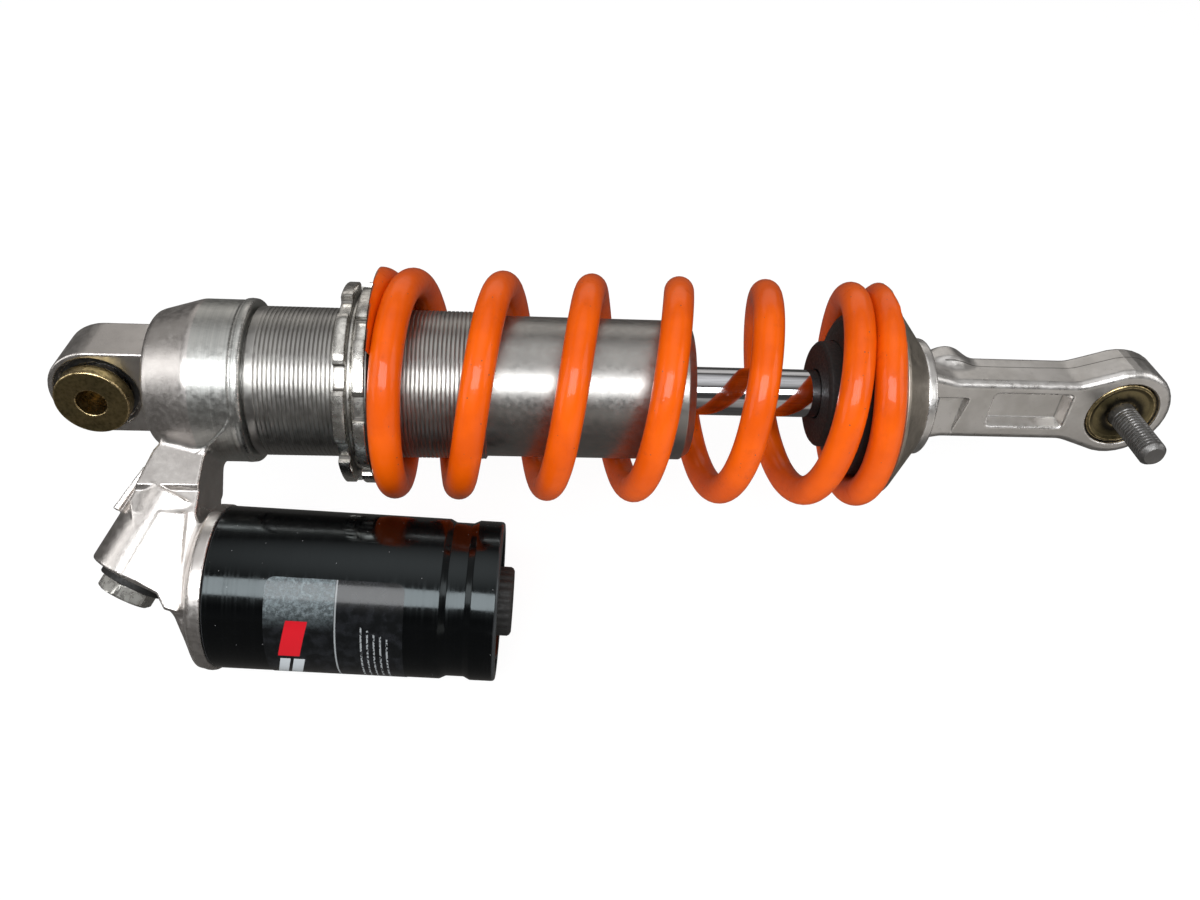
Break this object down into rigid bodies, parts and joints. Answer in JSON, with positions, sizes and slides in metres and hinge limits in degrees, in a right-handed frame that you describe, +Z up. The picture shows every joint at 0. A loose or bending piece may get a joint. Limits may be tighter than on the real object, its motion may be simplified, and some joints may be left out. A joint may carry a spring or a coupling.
{
  "type": "motorcycle rear shock absorber",
  "caption": "Coil-over motorcycle rear shock with piggyback gas reservoir, threaded preload rings, chrome rod, spherical-bearing eyes and screw damping adjusters.",
  "frame": {"origin": "on the near clamping face of the upper eye's spacer, 8.6 mm from the pin axis towards the lower eye, because a claimed origin must lie on material and the pin hole is open; the upper eye's centre is at X -8.6 mm, Y +16.5 mm, Z 0", "axes": "+X along the shock axis from the upper eye to the lower eye, Y along both eyes' pins with -Y out of the near clamping face, +Z up; the reservoir hangs at 48 degrees from -Z towards -Y"},
  "size_m": [0.4116, 0.1283, 0.1226],
  "materials": {
    "cast_aluminium": "satin as-cast aluminium, warm silver",
    "forged_aluminium": "satin forged aluminium with rounded bright edges",
    "turned_tube": "turned metal with fine tool lines",
    "bearing_steel": "ground bearing steel",
    "polished_steel": "polished ball surface",
    "spring_steel": "dark phosphated circlip steel",
    "zinc_plate": "yellow zinc plate, olive gold",
    "bronze": "bronze",
    "black_rubber": "matte black rubber",
    "black_cap": "matte black",
    "ring_metal": "worn machined ring",
    "seat_steel": "dark steel washer",
    "spring_orange": "gloss orange powder coat",
    "rod_chrome": "hard chrome",
    "shim_steel": "blued shim steel",
    "dull_steel": "dull grey plated steel",
    "retainer_grey": "matte grey-brown hard anodised",
    "hex_metal": "bright machined hexagon",
    "gloss_black": "gloss black",
    "label_print": null
  },
  "bodies": {
    "damper_body": {"shock_head": "cast_aluminium", "upper_race": "bearing_steel", "upper_circlip_near": "spring_steel", "upper_circlip_far": "spring_steel", "damper_tube": "turned_tube", "seal_head": "turned_tube", "rod_bushing": "bronze", "rod_seal": "black_rubber", "seal_head_circlip": "spring_steel", "dust_cap": "black_cap", "rod_wiper": "black_rubber", "reservoir_body": "gloss_black", "reservoir_end_cap": "black_cap", "reservoir_circlip": "spring_steel", "gas_valve": "bronze", "valve_cover": "black_rubber", "reservoir_label": "label_print", "adjuster_washer": "black_rubber", "compression_valve": "dull_steel"},
    "rod_unit": {"piston_rod": "rod_chrome", "rebound_shims": "shim_steel", "compression_shims": "shim_steel", "piston": "turned_tube", "piston_band": "bronze", "piston_nut": "dull_steel", "bump_stop": "black_rubber", "spring_guide": "black_cap", "spring_retainer": "retainer_grey", "spring": "spring_orange", "lower_arm": "forged_aluminium", "lower_race": "bearing_steel", "lower_circlip_near": "spring_steel", "lower_circlip_far": "spring_steel"},
    "preload_seat": {"spring_seat": "seat_steel"},
    "preload_ring": {"adjuster_ring": "ring_metal"},
    "locking_ring": {"lock_ring": "ring_metal"},
    "gas_piston": {"floating_piston": "turned_tube", "floating_piston_ring": "black_rubber"},
    "upper_ball_unit": {"upper_ball": "polished_steel"},
    "upper_pin_spacers": {"upper_spacer_near": "zinc_plate", "upper_spacer_far": "zinc_plate"},
    "lower_ball_unit": {"lower_ball": "polished_steel"},
    "lower_pin_spacers": {"lower_spacer_near": "zinc_plate", "lower_spacer_far": "zinc_plate"},
    "lower_bolt_unit": {"lower_bolt": "dull_steel"},
    "high_speed_knob": {"high_speed_adjuster": "hex_metal"},
    "low_speed_screw": {"low_speed_adjuster": "bronze"},
    "rebound_screw": {"rebound_adjuster": "bronze"},
    "rebound_needle": {"rebound_rod": "bearing_steel"}
  },
  "joints": [
    {"name": "stroke", "type": "slide", "parent": "damper_body", "child": "rod_unit", "axis": [-1, 0, 0], "range_m": [0, 0.048], "stiffness_N_per_m": 75000, "deforming": ["spring"]},
    {"name": "preload_travel", "type": "slide", "parent": "damper_body", "child": "preload_seat", "axis": [1, 0, 0], "range_m": [0, 0.0075]},
    {"name": "preload_turn", "type": "hinge", "parent": "preload_seat", "child": "preload_ring", "pos_m": [0.0861, 0.0165, 0], "axis": [1, 0, 0], "range_deg": [0, 1801]},
    {"name": "lock_ring_turn", "type": "hinge", "parent": "damper_body", "child": "locking_ring", "pos_m": [0.0796, 0.0165, 0], "axis": [1, 0, 0], "range_deg": [-90, 0]},
    {"name": "gas_piston_travel", "type": "slide", "parent": "damper_body", "child": "gas_piston", "axis": [0.9989, -0.035, -0.0315], "range_m": [0, 0.0063]},
    {"name": "upper_tilt", "type": "hinge", "parent": "damper_body", "child": "upper_ball_unit", "pos_m": [-0.0086, 0.0165, 0], "axis": [1, 0, 0], "range_deg": [-4, 4]},
    {"name": "upper_swing", "type": "hinge", "parent": "upper_ball_unit", "child": "upper_pin_spacers", "pos_m": [-0.0086, 0.0165, 0], "axis": [0, 1, 0], "range_deg": [-30, 30]},
    {"name": "lower_tilt", "type": "hinge", "parent": "rod_unit", "child": "lower_ball_unit", "pos_m": [0.3674, 0.0165, 0], "axis": [1, 0, 0], "range_deg": [-2, 2]},
    {"name": "lower_swing", "type": "hinge", "parent": "lower_ball_unit", "child": "lower_pin_spacers", "pos_m": [0.3674, 0.0165, 0], "axis": [0, 1, 0], "range_deg": [-30, 30]},
    {"name": "bolt_withdraw", "type": "slide", "parent": "lower_pin_spacers", "child": "lower_bolt_unit", "axis": [0, 1, 0], "range_m": [0, 0.055]},
    {"name": "high_speed_turn", "type": "hinge", "parent": "damper_body", "child": "high_speed_knob", "pos_m": [0.0072, -0.03671, -0.04791], "axis": [-0.4602, -0.6598, -0.5941], "range_deg": [0, 720]},
    {"name": "low_speed_turn", "type": "hinge", "parent": "high_speed_knob", "child": "low_speed_screw", "pos_m": [0.0072, -0.03671, -0.04791], "axis": [-0.4602, -0.6598, -0.5941], "range_deg": [0, 900]},
    {"name": "rebound_turn", "type": "hinge", "parent": "rod_unit", "child": "rebound_screw", "pos_m": [0.3004, 0.026, 0.009], "axis": [0, 1, 0], "range_deg": [0, 721]},
    {"name": "rebound_needle_travel", "type": "slide", "parent": "rod_unit", "child": "rebound_needle", "axis": [-1, 0, 0], "range_m": [0, 0.003]}
  ],
  "couplings": [
    {"joint": "preload_turn", "follows": "preload_travel", "rad_per_m": 4188.8},
    {"joint": "gas_piston_travel", "follows": "stroke", "ratio": 0.1296},
    {"joint": "rebound_turn", "follows": "rebound_needle_travel", "rad_per_m": 4188.8}
  ]
}
